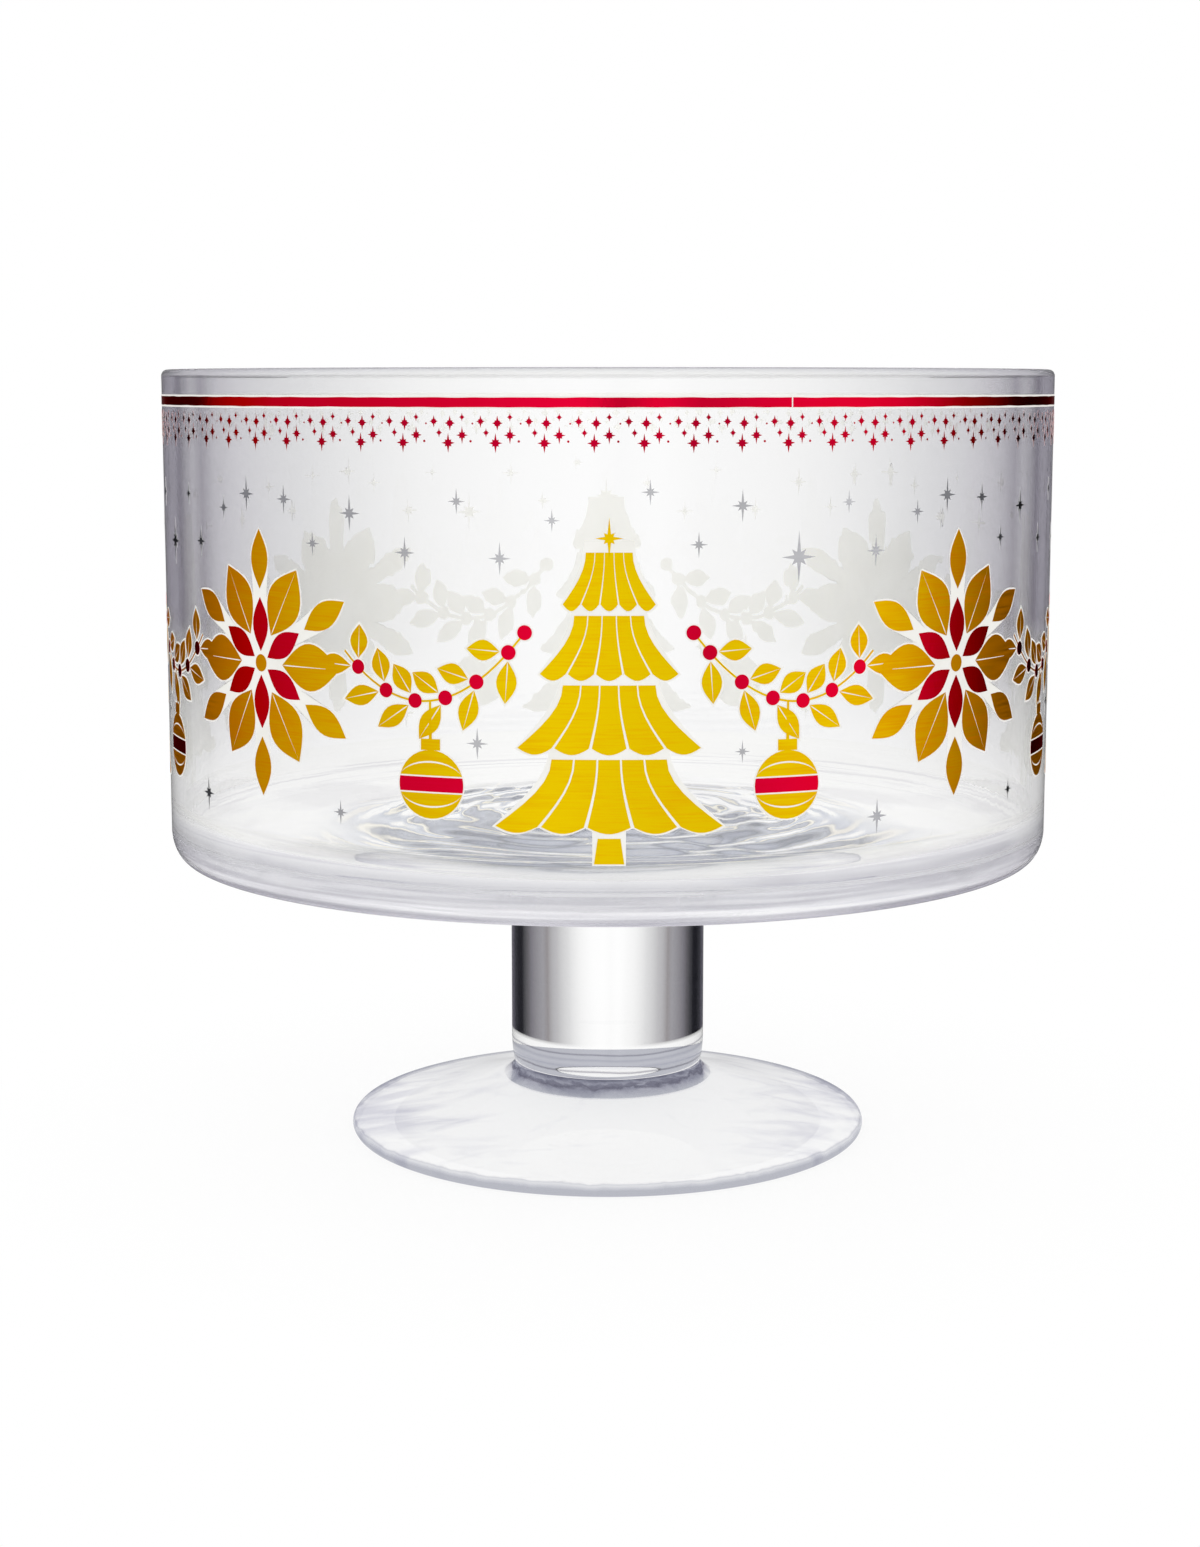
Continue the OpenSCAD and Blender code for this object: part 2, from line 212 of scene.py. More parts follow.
def new_group(name, inputs, outputs):
    """A shader node group with the named sockets, and its nodes' own input and output."""
    group = bpy.data.node_groups.new(name, "ShaderNodeTree")
    for label, kind, value in inputs:
        socket = group.interface.new_socket(label, in_out="INPUT", socket_type=kind)
        socket.default_value = value
    for label, kind in outputs:
        group.interface.new_socket(label, in_out="OUTPUT", socket_type=kind)
    return group, group.nodes.new("NodeGroupInput"), group.nodes.new("NodeGroupOutput")


# Slow waves that hot glass keeps on its surface, and finer streaks along the way it was drawn.
waves, waves_in, waves_out = new_group(
    "glass_waves", [("Waves", "NodeSocketFloat", 0.2), ("Streaks", "NodeSocketFloat", 0.1)],
    [("Normal", "NodeSocketVector")])
slow = times(waves, stretched_noise(waves, (1, 1, 0.5), 28, 1.5, 0.4), waves_in.outputs["Waves"])
fine = times(waves, stretched_noise(waves, (1, 1, 0.06), 240, 2), waves_in.outputs["Streaks"])
bump = new_node(waves, "ShaderNodeBump",
                {"Strength": 1, "Distance": 1 * mm, "Height": plus(waves, slow, fine)})
fill(waves, waves_out, {"Normal": bump.outputs["Normal"]})


def new_material(name):
    """A material with one Principled shader, and that shader."""
    material = bpy.data.materials.new(name)
    material.use_nodes = True
    return material, material.node_tree.nodes["Principled BSDF"]


def clear_glass(name, painted_edge_stops, waviness=0.0, streaks=0.0, bending=1.52, haze=0.0,
                clearness=1.0, fade=None, all_rays=False):
    """Glass with slow waves. Its colour is nearly white face on and darkens towards its outline,
    by a ramp over the Layer Weight's facing value: painted shade, with painted highlights in some
    ramps, that stands in for what the glass shows of its surroundings at its edges. Only what the
    camera meets first is darkened, so that light still reaches the print on the far side, or with
    all_rays everything that comes in from outside the glass. A fade (low, high, least) weakens
    this painted shade downwards, from the whole of it at the height high to the share least at the
    height low."""
    material, shader = new_material(name)
    tree = material.node_tree
    share = seen_first(tree)
    if all_rays:
        side = new_node(tree, "ShaderNodeNewGeometry")
        share = joined_by(tree, "SUBTRACT", 1, side.outputs["Backfacing"])
    if fade:
        share = times(tree, height_share(tree, *fade), share)
    facing = new_node(tree, "ShaderNodeLayerWeight", {"Blend": 0.5}).outputs["Facing"]
    surface = new_node(tree, "ShaderNodeGroup", {"Waves": waviness, "Streaks": streaks},
                       node_tree=waves)
    fill(tree, shader, {
        "Base Color": colour_mix(tree, share, (1, 1, 1, 1), colour_ramp(tree, facing, painted_edge_stops)),
        "Normal": surface.outputs["Normal"], "Transmission Weight": clearness,
        "Roughness": haze, "IOR": bending})
    return material


def tint(material, colour, share=1.0, blend="MULTIPLY"):
    """Multiplies a material's base colour by another colour, or blends that over it."""
    tree = material.node_tree
    shader = tree.nodes["Principled BSDF"]
    base = shader.inputs["Base Color"].links[0].from_socket
    fill(tree, shader, {"Base Color": colour_mix(tree, share, base, colour, blend)})


joint, shader = new_material("fused_joint")
shader.inputs["Alpha"].default_value = 0
# The foot's glass is painted darker towards its outline: painted shade.
foot_glass = clear_glass("foot_glass", [
    (0.0, (0.97, 0.97, 0.96)), (0.8, (0.96, 0.96, 0.96)), (0.92, (0.8, 0.8, 0.83)),
    (1.0, (0.4, 0.4, 0.45))], waviness=0.06, bending=1.05, haze=0.03)
tree = foot_glass.node_tree

# Painted shade: the round edge is painted greyer and mottled, the less it faces up.
edge_shade_by_facing = wandering(tree, coordinate(tree, "Normal", "Z"), 0.7, (1, 1, 0.4), 90, 4, 1.0)
tint(foot_glass, colour_ramp(tree, edge_shade_by_facing, [
    (0.0, (0.25, 0.26, 0.32)), (0.3, (0.4, 0.41, 0.48)), (0.55, (0.62, 0.63, 0.68)),
    (0.68, (0.5, 0.51, 0.57)), (0.78, (0.85, 0.85, 0.87)), (0.88, (1, 1, 1))]))

# Painted shade lies in dark blotches on the collar under the neck.
rise = height_share(tree, foot_top - foot_flare, foot_top)
collar_shade_spread = times(tree, joined_by(tree, "MINIMUM", rise, 0.5), 2.0)
collar_shade = wandering(tree, rise, collar_shade_spread, (1, 1, 2.5), 130, 3, 2.0)
tint(foot_glass, colour_ramp(tree, collar_shade, [
    (0.0, (1, 1, 1)), (0.15, (0.8, 0.8, 0.84)), (0.35, (0.55, 0.54, 0.62)),
    (0.5, (0.16, 0.15, 0.2)), (0.68, (0.3, 0.29, 0.36)), (0.8, (0.75, 0.74, 0.8)),
    (1.0, (0.3, 0.29, 0.36))]), seen_first(tree))

# Faint flow marks of painted shade lie on the dome, more of them towards its left and right.
flow_w = 45 * mm
away = joined_by(tree, "DIVIDE", coordinate(tree, "Object", "X"), flow_w)
painted_shade_smears = plus(tree, stretched_noise(tree, (0.7, 1.6, 1), 38, 3, 1.5), 0.14)
flow = joined_by(tree, "SUBTRACT", painted_shade_smears, times(tree, times(tree, away, away), 0.16))
tint(foot_glass, colour_ramp(tree, flow, [
    (0.0, (0.6, 0.6, 0.68)), (0.3, (0.72, 0.72, 0.79)), (0.42, (0.93, 0.93, 0.95)),
    (0.5, (1, 1, 1))]))
finishes = np.arange(len(foot_profile) - 1) >= len(foot_profile) - 3
foot = turned_body("glass_foot", foot_profile, finishes, [foot_glass, joint])
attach(foot, "root")
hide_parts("foot")

# The stem is a solid drawn cylinder of clear glass, fused to the foot at its narrower rounded
# lower end and to the underside of the bowl above.
stem_low, stem_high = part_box("stem")
stem_r, stem_foot, stem_top = stem_high[0], stem_low[2], stem_high[2]
neck_h = 7.4 * mm
dark_start, dark_end = 8 * mm, 9 * mm
neck_light_lines_h = 10 * mm
stem_profile = np.concatenate([
    [[0, stem_foot], [0.5 * foot_neck_r, stem_foot]],
    arc(foot_neck_r, stem_foot + neck_h, stem_r - foot_neck_r, neck_h, -90, 0),
    np.stack([np.full(30, stem_r), np.linspace(stem_foot + neck_h, stem_top, 30)], axis=1)[1:],
    [[0.5 * stem_r, stem_top], [0, stem_top]]])
row = np.arange(len(stem_profile) - 1)
finishes = (row < 2) | (row >= len(stem_profile) - 3)
# The stem's dark sides are painted shade, weaker at the bottom of the neck.
stem_glass = clear_glass("stem_glass", [
    (0.0, (1, 1, 1)), (0.035, (0.98, 0.98, 0.98)), (0.062, (0.84, 0.84, 0.84)),
    (0.11, (0.5, 0.5, 0.51)), (0.17, (0.25, 0.245, 0.26)), (0.2, (0.19, 0.185, 0.2)),
    (0.24, (0.08, 0.07, 0.075)), (0.28, (0.1, 0.096, 0.112)), (0.355, (0.06, 0.056, 0.068)),
    (0.4, (0.035, 0.032, 0.042)), (0.45, (0.012, 0.011, 0.014)), (0.5, (0.003, 0.003, 0.004)),
    (0.56, (0.0003, 0.0003, 0.0005)), (0.64, (0.0003, 0.0003, 0.0005)),
    (0.73, (0.002, 0.002, 0.003)), (0.85, (0.02, 0.018, 0.03)), (1.0, (0.1, 0.09, 0.13))],
    waviness=0.03, streaks=0.03, fade=(stem_foot + dark_start, stem_foot + dark_end, 0.12))

# Fine lines of painted shade and painted highlight run round the neck where the glass was drawn
# in.
tree = stem_glass.node_tree
neck_light_lines = wandering(tree, height_share(tree, stem_foot, stem_foot + neck_light_lines_h), 0.14,
                    (1, 1, 0.5), 60, 2)
tint(stem_glass, colour_ramp(tree, neck_light_lines, [
    (0.0, (0.4, 0.39, 0.46)), (0.07, (1, 1, 1)), (0.15, (1, 1, 1)), (0.19, (0.15, 0.14, 0.19)),
    (0.24, (1, 1, 1)), (0.34, (0.8, 0.8, 0.86)), (0.42, (1.1, 1.1, 1.1)),
    (0.5, (0.72, 0.72, 0.78)), (0.56, (1.1, 1.1, 1.1)), (0.6, (1.1, 1.1, 1.1)),
    (0.64, (0.25, 0.24, 0.3)), (0.68, (1, 1, 1))]), seen_first(tree))
stem = turned_body("glass_stem", stem_profile, finishes, [stem_glass, joint])
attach(stem, "root")
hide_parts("stem")

# The bowl is one thick body of clear glass with straight sides and a fire-polished rim. Its
# floor is uneven in rings, from the way the hot glass flowed when it was pressed.
rim_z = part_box("bowl")[1][2]
bowl_r = 110 * mm
wall = 3 * mm
corner_w, corner_h = 4 * mm, 7 * mm
underside_drop = 7.5 * mm
floor_t = 6.5 * mm
inner_corner = 9 * mm
floor_rise = 5 * mm
rise_r = 70 * mm
ripple_h, ripple_sway = 0.28 * mm, 0.1 * mm
ripple_reach = 80 * mm
ring_gap, fine_ring_gap = 14 * mm, 6.7 * mm
bowl_z = stem_top + underside_drop
floor_z = bowl_z + floor_t
inside_r = bowl_r - wall


def floor_ripple(x, y):
    """Rings of hot glass: cosines of the distance from the axis, bent by slow waves round it."""
    r, a = np.hypot(x, y), np.arctan2(y, x)
    bend = mm * (4 * np.sin(a + 0.6) + 3 * np.sin(3 * a + r / (18 * mm))
                 + 2 * np.sin(7 * a - r / (11 * mm)))
    rings = (np.cos(tau * (r + bend) / ring_gap)
             + 0.35 * np.cos(tau * (r - bend) / fine_ring_gap))
    fade = np.exp(-((r / ripple_reach) ** 8))
    return (ripple_h + ripple_sway * np.sin(2 * a + r / (15 * mm))) * fade * rings


def upright_rows(r, start, end):
    """Rows close to both ends of an upright wall, so that it shades flat between them."""
    return np.stack([np.full(6, r), start + (end - start)
                     * np.array([0.003, 0.01, 0.05, 0.95, 0.99, 0.997])], axis=1)


t = np.linspace(0, 1, 60)
corner_steps = 20
bowl_profile = np.concatenate([
    [[0, stem_top], [0.5 * stem_r, stem_top]],
    np.stack([stem_r + (bowl_r - corner_w - stem_r) * t,
              stem_top + underside_drop * np.sin(t * np.pi / 2)], axis=1),
    arc(bowl_r - corner_w, bowl_z + corner_h, corner_w, corner_h, -90, 0)[1:],
    upright_rows(bowl_r, bowl_z + corner_h, rim_z - wall / 2),
    arc(bowl_r - wall / 2, rim_z - wall / 2, wall / 2, wall / 2, 0, 180, 17),
    upright_rows(inside_r, rim_z - wall / 2, floor_z + inner_corner),
    arc(inside_r - inner_corner, floor_z + inner_corner, inner_corner, inner_corner, 0, -90,
        corner_steps)])
floor_r = np.linspace(inside_r - inner_corner, 0, 110)[1:]
floor_h = floor_z + floor_rise / 2 * (1 + np.cos(np.pi * np.minimum(floor_r / rise_r, 1)))
bowl_profile = np.concatenate([bowl_profile, np.stack([floor_r, floor_h], axis=1)])
row = np.arange(len(bowl_profile))
on_floor = (row >= len(bowl_profile) - len(floor_r)).astype(float)
bowl_profile = np.concatenate([bowl_profile, on_floor[:, None]], axis=1)

# The wall, the base with its corner, the fused joint, the floor with its corner, and the rim.
wall_slot, base_slot, joint_slot, floor_slot, rim_slot = range(5)
hair = 0.01 * mm
floor_rows = row[:-1] >= len(bowl_profile) - len(floor_r) - corner_steps
base_rows = (bowl_profile[:-1, 1] < bowl_z + corner_h + hair) & ~floor_rows
rim_rows = bowl_profile[:-1, 1] > rim_z - wall / 2 - hair
finishes = np.select([row[:-1] < 2, floor_rows, base_rows, rim_rows],
                     [joint_slot, floor_slot, base_slot, rim_slot], wall_slot)
faint_shade_z, full_shade_z = 98 * mm, 135 * mm
# The wall darkens towards its outline as painted shade, fainter downwards.
wall_glass = clear_glass("bowl_wall_glass", [
    (0.0, (0.95, 0.95, 0.95)), (0.03, (0.9, 0.9, 0.9)), (0.095, (0.8, 0.8, 0.8)),
    (0.18, (0.65, 0.65, 0.66)), (0.28, (0.51, 0.51, 0.53)), (0.44, (0.37, 0.36, 0.4)),
    (0.53, (0.26, 0.25, 0.29)), (0.6, (0.14, 0.13, 0.165)), (0.65, (0.23, 0.22, 0.26)),
    (0.735, (0.07, 0.062, 0.09)), (0.8, (0.18, 0.165, 0.22)), (0.88, (0.2, 0.18, 0.25)),
    (1.0, (0.25, 0.22, 0.32))], waviness=0.03, streaks=0.02, fade=(faint_shade_z, full_shade_z, 0.16))

# The lowest part of the wall is painted greyer, as painted shade for the thick floor that shows
# through it.
lower_shade_z = 94 * mm
tree = wall_glass.node_tree
tint(wall_glass, colour_ramp(tree, height_share(tree, bowl_z + corner_h, lower_shade_z), [
    (0.0, (0.5, 0.5, 0.54)), (0.2, (0.54, 0.54, 0.58)), (0.36, (0.84, 0.84, 0.87)),
    (0.5, (1, 1, 1))]), seen_first(tree))
# The base is painted grey, darker towards its outline: painted shade.
base_glass = clear_glass("bowl_base_glass", [
    (0.0, (0.52, 0.52, 0.56)), (0.5, (0.5, 0.5, 0.54)), (0.8, (0.4, 0.39, 0.44)),
    (1.0, (0.3, 0.3, 0.36))], waviness=0.06, bending=1.12, haze=0.14)

# A painted highlight and then a line of painted shade follow the corner as it turns under, with
# fine painted light and dark lines along.
tree = base_glass.node_tree
corner_light_and_shade = wandering(tree, times(tree, coordinate(tree, "Normal", "Z"), -1), 0.1, (1, 1, 1), 40, 2)
tint(base_glass, colour_ramp(tree, corner_light_and_shade, [
    (0.0, (1, 1, 1)), (0.24, (1, 1, 1)), (0.3, (1.6, 1.6, 1.55)), (0.44, (1.6, 1.6, 1.55)),
    (0.52, (0.85, 0.84, 0.88)), (0.8, (0.75, 0.73, 0.8)), (1.0, (1, 1, 1))]))
tint(base_glass, colour_ramp(tree, stretched_noise(tree, (0.08, 0.08, 3), 260, 2), [
    (0.38, (0.72, 0.71, 0.75)), (0.5, (0.95, 0.95, 0.97)), (0.6, (1.2, 1.2, 1.19))]))
# The rippled floor is painted grey-blue and dark where it faces away, with cream streaks between:
# painted shade and painted highlights.
floor_glass = clear_glass("bowl_floor_glass", [
    (0.0, (1, 1, 1)), (0.35, (0.9, 0.9, 0.93)), (0.66, (0.16, 0.18, 0.26)),
    (0.72, (0.02, 0.025, 0.045)), (0.77, (0.2, 0.22, 0.3)), (0.8, (0.03, 0.04, 0.075)),
    (0.818, (0.95, 0.86, 0.62)), (0.83, (0.14, 0.17, 0.26)), (0.85, (0.35, 0.39, 0.49)),
    (0.862, (0.9, 0.88, 0.82)), (0.88, (1, 1, 1)), (1.0, (1, 1, 1))],
    waviness=0.06, bending=1.45, all_rays=True)


def distance(tree, stretch=(1, 1, 0), shift=(0, 0, 0)):
    """How far a point is from the axis, with its Object coordinates stretched and shifted."""
    place = new_node(tree, "ShaderNodeTexCoord")
    flat = new_node(tree, "ShaderNodeVectorMath",
                    {0: place.outputs["Object"], 1: stretch, 2: shift}, operation="MULTIPLY_ADD")
    return new_node(tree, "ShaderNodeVectorMath", {0: flat.outputs["Vector"]},
                    operation="LENGTH").outputs["Value"]


# The floor's painted shade and highlights give way to pale glass near the wall, a little later in
# front.
pale_start, pale_end = 66 * mm, 86 * mm
pale_wander = 30 * mm
shade_forward = 14 * mm
tree = floor_glass.node_tree
from_middle = distance(tree, (1.08, 1, 0), (0, shade_forward, 0))
outward = share_between(tree, wandering(tree, from_middle, pale_wander, (1, 1, 1), 30, 2),
                        pale_start, pale_end)
tint(floor_glass, (0.97, 0.97, 0.95, 1), outward, "MIX")
# The rim darkens towards its outline as painted shade.
rim_glass = clear_glass("bowl_rim_glass", [
    (0.0, (0.98, 0.98, 0.98)), (0.12, (0.9, 0.9, 0.91)), (0.35, (0.72, 0.72, 0.75)),
    (0.6, (0.5, 0.49, 0.54)), (1.0, (0.42, 0.41, 0.46))], bending=1.1, clearness=0.5)
bowl = turned_body("glass_bowl", bowl_profile, finishes,
                   [wall_glass, base_glass, joint, floor_glass, rim_glass],
                   ripple=floor_ripple)
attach(bowl, "root")
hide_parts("bowl")

# The stripe near the rim is a strip of red metallic foil laid once round the wall, on a white
# strip that shows as a fine line at both its edges. Its ends meet in a butt seam.
stripe_low, stripe_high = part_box("rim_stripe")
ink_back, ink_front = 0.015 * mm, 0.04 * mm
foil_back, foil_front = 0.045 * mm, 0.075 * mm
raised_front = 0.09 * mm
white_margin = 0.35 * mm
ground_grids, ground_fans = [], []


def film(name, back, front, materials, grids=(), fans=()):
    """Thin closed shells round the wall. A flat point (s, z) becomes the point
    (r sin(s / R), -r cos(s / R), z), once with r = R + front and once with r = R + back, and
    the rim of each figure is closed between the two. Grids hold figures as rows and columns,
    and fans hold them as rings round a middle. The faces towards the glass take the second
    material, where there is one."""
    figures = []
    for flat in grids:
        at = np.arange(flat.shape[1] * flat.shape[2]).reshape(flat.shape[1:3])
        quads = np.stack([at[:-1, :-1], at[1:, :-1], at[1:, 1:], at[:-1, 1:]], axis=-1)
        edge = np.concatenate([at[:-1, 0], at[-1, :-1], at[:0:-1, -1], at[0, :0:-1]])
        figures.append((flat.reshape(len(flat), -1, 2), [quads.reshape(-1, 4)], edge))
    for rings in fans:
        middle = rings[:, 0].mean(axis=1, keepdims=True)
        flat = np.concatenate([middle, rings.reshape(len(rings), -1, 2)], axis=1)
        at = 1 + np.arange(rings.shape[1] * rings.shape[2]).reshape(rings.shape[1:3])
        beside = np.roll(at, -1, axis=1)
        first_ring = np.stack([np.zeros_like(at[0]), at[0], beside[0]], axis=-1)
        quads = np.stack([at[:-1], at[1:], beside[1:], beside[:-1]], axis=-1)
        figures.append((flat, [first_ring, quads.reshape(-1, 4)], at[-1]))
    points, faces, inward, first = [], [], [], 0
    for flat, kinds, edge in figures:
        copies, size = flat.shape[:2]
        beside = np.roll(edge, -1)
        kinds = (kinds + [kind[:, ::-1] + size for kind in kinds]
                 + [np.stack([edge, edge + size, beside + size, beside], axis=-1)])
        a = flat[..., 0] / bowl_r
        both = [np.stack([r * np.sin(a), -r * np.cos(a), flat[..., 1]], axis=-1)
                for r in (bowl_r + front, bowl_r + back)]
        points.append(np.stack(both, axis=1).reshape(-1, 3))
        start = first + 2 * size * np.arange(copies)[:, None, None]
        for kind in kinds:
            faces += (kind[None] + start).reshape(-1, kind.shape[1]).tolist()
            inward += [int(kind.min(initial=2 * size) >= size)] * (len(kind) * copies)
        first += 2 * size * copies
    finishes = np.minimum(inward, len(materials) - 1)
    return new_piece(name, np.concatenate(points), faces, finishes, materials, 40)


# Foil that was rolled on: fine brushing along the wall, slow clouds in its tone, and creases. Its
# tone also takes painted shade, given to the group, where the foil turns away.
foil_grain, grain_in, grain_out = new_group(
    "foil_grain", [("Foil", "NodeSocketColor", (1, 1, 1, 1)),
                   ("Deep Foil", "NodeSocketColor", (0.5, 0.5, 0.5, 1)),
                   ("Polish", "NodeSocketFloat", 0.3), ("Creases", "NodeSocketFloat", 0.1),
                   ("Painted Edge Shade", "NodeSocketFloat", 0.0)],
    [("Color", "NodeSocketColor"), ("Roughness", "NodeSocketFloat"),
     ("Normal", "NodeSocketVector")])
brushing = stretched_noise(foil_grain, (1, 1, 30), 90, 4)
clouds = stretched_noise(foil_grain, (1, 1, 1.6), 65, 3, 0.6)
creases = stretched_noise(foil_grain, (1, 1, 0.7), 210, 2, 1.8)
spread = plus(foil_grain, times(foil_grain, brushing, 0.45), times(foil_grain, clouds, 0.3))
tone = plus(foil_grain, joined_by(foil_grain, "SUBTRACT", spread, 0.375),
            grain_in.outputs["Painted Edge Shade"])
relief = plus(foil_grain, times(foil_grain, brushing, 0.06),
              times(foil_grain, creases, grain_in.outputs["Creases"]))
bump = new_node(foil_grain, "ShaderNodeBump",
                {"Strength": 1, "Distance": 0.1 * mm, "Height": relief})
fill(foil_grain, grain_out, {
    "Color": colour_mix(foil_grain, share_between(foil_grain, tone, 0, 0.5),
                        grain_in.outputs["Foil"], grain_in.outputs["Deep Foil"]),
    "Roughness": times(foil_grain, grain_in.outputs["Polish"], plus(foil_grain, brushing, 0.5)),
    "Normal": bump.outputs["Normal"]})


def foil(name, colour, deep, polish, creasing):
    """Metal foil with the grain group on its colour, roughness and normal. It is painted in its
    deep colour where it faces away, by the Layer Weight's facing value: painted shade at its
    outline."""
    material, shader = new_material(name)
    tree = material.node_tree
    facing = new_node(tree, "ShaderNodeLayerWeight", {"Blend": 0.5})
    grain = new_node(tree, "ShaderNodeGroup", {
        "Foil": (*colour, 1), "Deep Foil": (*deep, 1), "Polish": polish, "Creases": creasing,
        "Painted Edge Shade": facing.outputs["Facing"]}, node_tree=foil_grain)
    fill(tree, shader, {
        "Metallic": 1, "Specular Tint": (*deep, 1), "Base Color": grain.outputs["Color"],
        "Roughness": grain.outputs["Roughness"], "Normal": grain.outputs["Normal"]})
    return material


red_foil = foil("red_foil", (0.84, 0.0008, 0.037), (0.76, 0.0005, 0.01), 0.16, 0.25)
stripe_bottom, stripe_top = stripe_low[2], stripe_high[2]
seam_angle = np.radians(20.6)
seam_half = 0.15 * mm
edge_wander = 0.02 * mm
stripe_steps = 541
s = bowl_r * seam_angle + np.linspace(seam_half, tau * bowl_r - seam_half, stripe_steps)
v = np.linspace(-1, 1, 3)


def stripe_edge(s, phase):
    """The foil's edge wanders by a few hundredths of a millimetre: three sines along it."""
    a = s / bowl_r
    return edge_wander * (np.sin(37 * a + phase) + np.sin(61 * a + 2 * phase) + np.sin(89 * a))


middle_z = (stripe_bottom + stripe_top) / 2
half_w = (stripe_top - stripe_bottom) / 2
edges = half_w - 3 * edge_wander + np.stack([stripe_edge(s, 1.0), stripe_edge(s, 2.3)], axis=1)
reach = np.where(v < 0, edges[:, :1], edges[:, 1:])
stripe_figure = np.stack([np.repeat(s[:, None], 3, axis=1), middle_z + v * reach], axis=-1)[None]
ground = np.stack([np.repeat(s[:, None], 3, axis=1),
                   np.repeat(middle_z + v[None] * (half_w + white_margin), len(s), axis=0)],
                  axis=-1)
ground_grids.append(ground[None])
stripe = film("red_foil_stripe", foil_back, foil_front, [red_foil], grids=[stripe_figure])
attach(stripe, "root")
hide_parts("rim_stripe")

# Under the stripe runs a border of small red foil stars, 66 repeats of six stars and two dots.
# Each star has eight rays, the longest up and down, and the smaller ones are a little stouter.
border_count = 66
border_depth = 7.4 * mm
border_star_h = 4.2 * mm
fine_size, fine_waist, stout_waist = 0.8, 0.33, 0.4

# Each row gives shares: how far along the repeat, how far down the border, and how large.
border_marks = np.array([[0, 0.27, 0.43], [0.39, 0.39, 0.62], [0.74, 0.44, 0.76],
                         [0, 0.78, 0.88], [0.505, 0.71, 0.47], [0.7, 1, 1]])
border_dots = np.array([[0.22, 0.45, 0.2], [0.18, 0.95, 0.26]])


def stamp(figure, angle, height, tilt=0.0):
    """Copies of a flat figure: each is turned by its tilt, and moved to its angle round the
    wall, in degrees, and its height."""
    angle, height, tilt = np.broadcast_arrays(np.atleast_1d(angle), height, tilt)
    shape = (-1,) + (1,) * (figure.ndim - 1)
    c, s = np.cos(np.radians(tilt)).reshape(shape), np.sin(np.radians(tilt)).reshape(shape)
    x, z = figure[None, ..., 0], figure[None, ..., 1]
    along = bowl_r * np.radians(angle).reshape(shape)
    return np.stack([along + x * c - z * s, height.reshape(shape) + x * s + z * c], axis=-1)


def star(height, side, diagonal, waist, grow=0.0):
    """One ring of 16 points: eight rays in turn, of lengths 1, diagonal and side times half
    the height, with waists between them. It is grown on all sides by grow."""
    shares = np.array([1, diagonal, side, diagonal] * 2) * height / 2 + 2 * grow
    r = np.stack([shares, np.full(8, waist * height / 2 + grow)], axis=1).ravel()
    a = np.pi / 2 + np.arange(16) * tau / 16
    return (r[:, None] * np.stack([np.cos(a), np.sin(a)], axis=1))[None]


def disc(radius, rings=1, points=20):
    """Rings of points, the last at the radius."""
    r = radius * np.arange(1, rings + 1) / rings
    a = np.arange(points) * tau / points
    return r[:, None, None] * np.stack([np.cos(a), np.sin(a)], axis=1)[None]


border_figures = [star(border_star_h * size, 0.72, 0.5,
                       fine_waist if size > fine_size else stout_waist)
                  for size in border_marks[:, 2]]
border_figures += [disc(border_star_h / 4 * size, points=8) for size in border_dots[:, 2]]
repeat = np.arange(border_count)
border_fans = []
border_places = np.concatenate([border_marks, border_dots])[:, :2]
for figure, (place, depth) in zip(border_figures, border_places):
    angles = 360 * (repeat + place) / border_count
    border_fans.append(stamp(figure, angles, stripe_bottom - border_depth * depth))
ground_fans += border_fans
star_foil = foil("red_star_foil", (0.6, 0.0008, 0.03), (0.5, 0.0005, 0.008), 0.16, 0.25)
border = film("red_foil_star_border", foil_back, foil_front, [star_foil], fans=border_fans)
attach(border, "root")
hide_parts("star_border")

# Bright silver foil stars with eight fine rays are scattered over the clear wall, most of them
# between the border and the frieze.
motif_count = 4
sector = 360 / motif_count
frieze_lift = 14.5 * mm
frieze_z = bowl_z + frieze_lift
frieze_room = stripe_bottom - border_depth - border_star_h - frieze_z
silver_star_h = 11.2 * mm

# Each row gives shares: how far along the sector, how far up the frieze's room, and how large.
silver_places = np.array([
    [0.05, 0.93, 0.5], [0.11, 0.8, 0.5], [0.165, 0.895, 0.62], [0.24, 0.765, 1],
    [0.31, 0.9, 0.45], [0.352, 0.775, 0.62], [0.42, 0.87, 0.5], [0.475, 0.91, 0.72],
    [0.55, 0.9, 0.6], [0.6, 0.79, 0.5], [0.66, 0.87, 0.7], [0.74, 0.775, 0.62],
    [0.81, 0.905, 0.5], [0.865, 0.765, 0.62], [0.93, 0.86, 0.45],
    [0.167, 0.28, 0.45], [0.36, 0.09, 0.72], [0.64, 0.1, 0.5], [0.835, 0.3, 0.62]])
sectors = np.arange(motif_count)
silver_fans = [stamp(star(silver_star_h * size, 0.72, 0.42, 0.21), sector * (sectors + place),
                     frieze_z + frieze_room * height) for place, height, size in silver_places]
ground_fans += silver_fans
silver_foil = foil("silver_foil", (0.62, 0.62, 0.64), (0.42, 0.42, 0.46), 0.2, 0.3)
silver = film("silver_foil_stars", foil_back, foil_front, [silver_foil], fans=silver_fans)
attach(silver, "root")
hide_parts("silver_stars")

